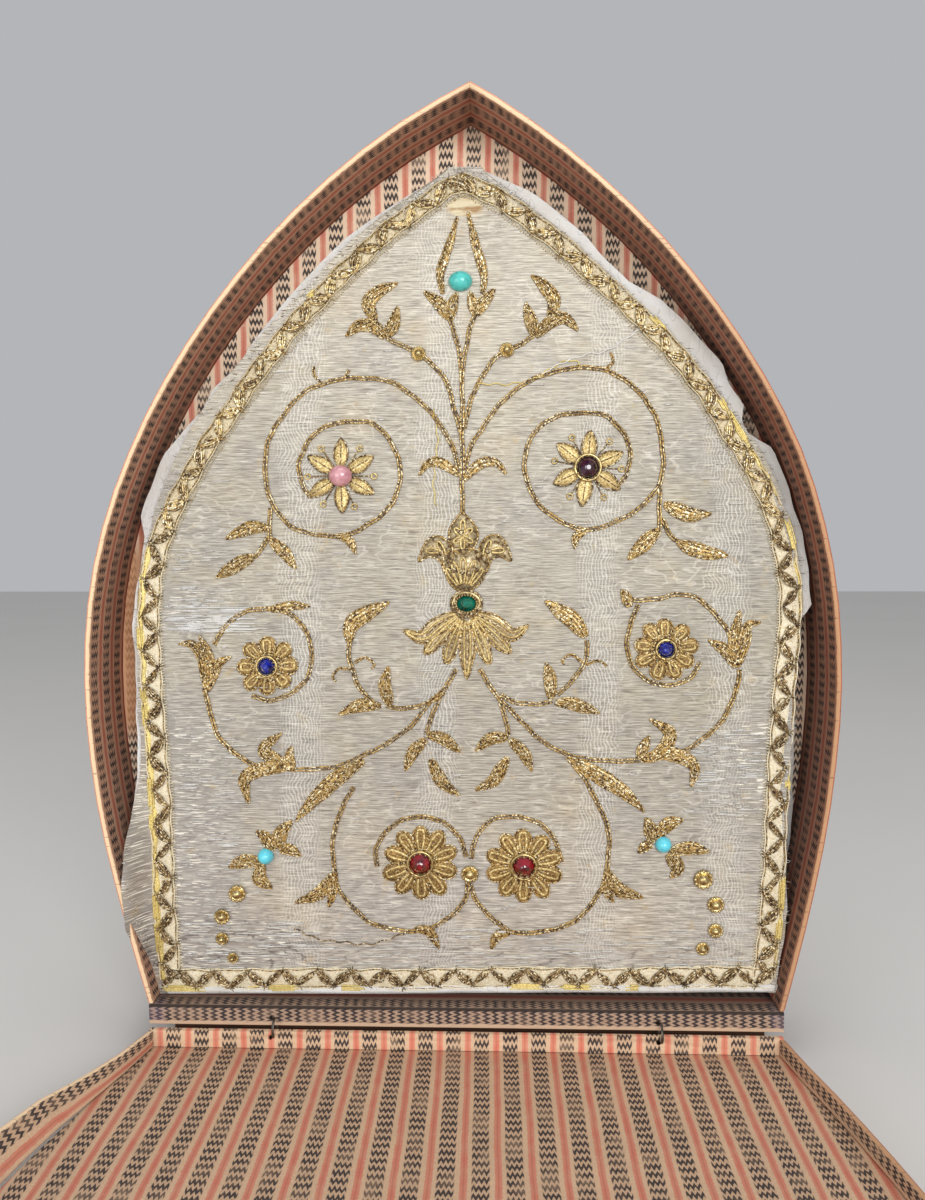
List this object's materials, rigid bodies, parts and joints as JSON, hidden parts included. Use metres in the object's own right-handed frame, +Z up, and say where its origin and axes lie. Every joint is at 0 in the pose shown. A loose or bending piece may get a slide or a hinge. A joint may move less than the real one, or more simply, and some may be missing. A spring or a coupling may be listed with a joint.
{
  "type": "bishop mitre in its case",
  "caption": "Mitre of silver cloth with gold embroidery, braid and glass stones, folded flat in its pointed-arch case with the lid let down",
  "frame": {"origin": "middle of the underside of the case, on the table", "axes": "+Z up, +X across to the right seen from the front, the mitre's face towards -Y"},
  "size_m": [0.3436, 0.4665, 0.437],
  "materials": {
    "patterned_paper": "printed paper over board, worn",
    "case_wood": "dark, rough",
    "hinge_wire": "tarnished wire",
    "silver_cloth": "silver moire, tarnished",
    "lining_cloth": "off-white linen",
    "gold_braid": "gold braid on pale ground",
    "gold_thread": "couched gold thread",
    "gilt_metal": "gilt, tarnished",
    "turquoise_glass": "polished, opaque",
    "pink_glass": "polished, opaque",
    "purple_glass": "faceted glass",
    "green_glass": "faceted glass",
    "blue_glass": "faceted glass",
    "red_glass": "faceted glass"
  },
  "bodies": {
    "root": {"back_horn": "silver_cloth", "blue_flower_left": "gold_thread", "blue_flower_right": "gold_thread", "blue_stone_left": "blue_glass", "blue_stone_left_setting": "gilt_metal", "blue_stone_right": "blue_glass", "blue_stone_right_setting": "gilt_metal", "braid_hem": "gold_braid", "braid_left": "gold_braid", "braid_right": "gold_braid", "case_back_panel": "patterned_paper", "case_floor": "patterned_paper", "case_plinth": "case_wood", "case_wall_left": "patterned_paper", "case_wall_right": "patterned_paper", "front_horn": "silver_cloth", "green_stone": "green_glass", "green_stone_setting": "gilt_metal", "hinge_ring_left": "hinge_wire", "hinge_ring_right": "hinge_wire", "lily": "gold_thread", "lining": "lining_cloth", "palmette": "gold_thread", "pink_flower": "gold_thread", "pink_stone": "pink_glass", "purple_flower": "gold_thread", "purple_stone": "purple_glass", "purple_stone_setting": "gilt_metal", "red_flower_left": "gold_thread", "red_flower_right": "gold_thread", "red_stone_left": "red_glass", "red_stone_left_setting": "gilt_metal", "red_stone_right": "red_glass", "red_stone_right_setting": "gilt_metal", "stud_left_1": "gilt_metal", "stud_left_2": "gilt_metal", "stud_left_3": "gilt_metal", "stud_left_4": "gilt_metal", "stud_middle": "gilt_metal", "stud_right_1": "gilt_metal", "stud_right_2": "gilt_metal", "stud_right_3": "gilt_metal", "stud_right_4": "gilt_metal", "stud_upper_left": "gilt_metal", "stud_upper_right": "gilt_metal", "turquoise_left": "turquoise_glass", "turquoise_right": "turquoise_glass", "turquoise_top": "turquoise_glass"},
    "lid": {"lid_hinge_wall": "patterned_paper", "lid_panel": "patterned_paper", "lid_wall_left": "patterned_paper", "lid_wall_right": "patterned_paper"}
  },
  "joints": [
    {"name": "lid_hinge", "type": "hinge", "parent": "root", "child": "lid", "pos_m": [0, -0.0206, 0.0116], "axis": [-1, 0, 0], "range_deg": [0, 90]}
  ]
}
